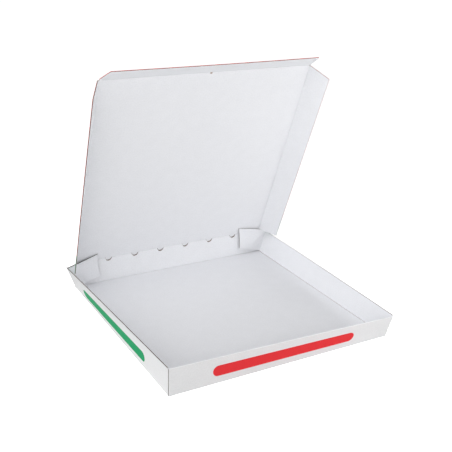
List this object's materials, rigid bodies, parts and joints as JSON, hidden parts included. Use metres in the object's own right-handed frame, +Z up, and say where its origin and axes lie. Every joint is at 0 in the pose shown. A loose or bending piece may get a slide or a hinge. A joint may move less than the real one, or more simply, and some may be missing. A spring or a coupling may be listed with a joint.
{
  "type": "pizza box",
  "caption": "Shallow square pizza box of white-lined corrugated board with a double front wall and a hinged lid whose tuck flaps fold in as it closes.",
  "frame": {"origin": "middle of the tray's underside", "axes": "+X to the box's right, +Y to the back where the lid is hinged, +Z up"},
  "size_m": [0.3548, 0.3488, 0.3544],
  "materials": {
    "tray_board": "white-lined corrugated board with printed bars",
    "lid_board": "white-lined corrugated board, plain inside, printed outside",
    "flap_board": "white-lined corrugated board, plain inside, printed outside"
  },
  "bodies": {
    "tray": {"tray": "tray_board"},
    "lid": {"lid": "lid_board"},
    "lid_front_flap": {"lid_front_flap": "flap_board"},
    "lid_left_flap": {"lid_left_flap": "flap_board"},
    "lid_right_flap": {"lid_right_flap": "flap_board"}
  },
  "joints": [
    {"name": "lid_crease", "type": "hinge", "parent": "tray", "child": "lid", "pos_m": [0, 0.1664, 0.04], "axis": [-1, 0, 0], "range_deg": [-68, 72]},
    {"name": "front_flap_crease", "type": "hinge", "parent": "lid", "child": "lid_front_flap", "pos_m": [0, 0.04596, 0.33809], "axis": [1, 0, 0], "range_deg": [-48, 45]},
    {"name": "left_flap_crease", "type": "hinge", "parent": "lid", "child": "lid_left_flap", "pos_m": [-0.1612, 0.1664, 0.04], "axis": [0, -0.3746, 0.9272], "range_deg": [-32, 30]},
    {"name": "right_flap_crease", "type": "hinge", "parent": "lid", "child": "lid_right_flap", "pos_m": [0.1612, 0.1664, 0.04], "axis": [0, 0.3746, -0.9272], "range_deg": [-32, 30]}
  ],
  "couplings": [
    {"joint": "front_flap_crease", "follows": "lid_crease", "ratio": -0.66},
    {"joint": "left_flap_crease", "follows": "lid_crease", "ratio": -0.44},
    {"joint": "right_flap_crease", "follows": "lid_crease", "ratio": -0.44}
  ]
}
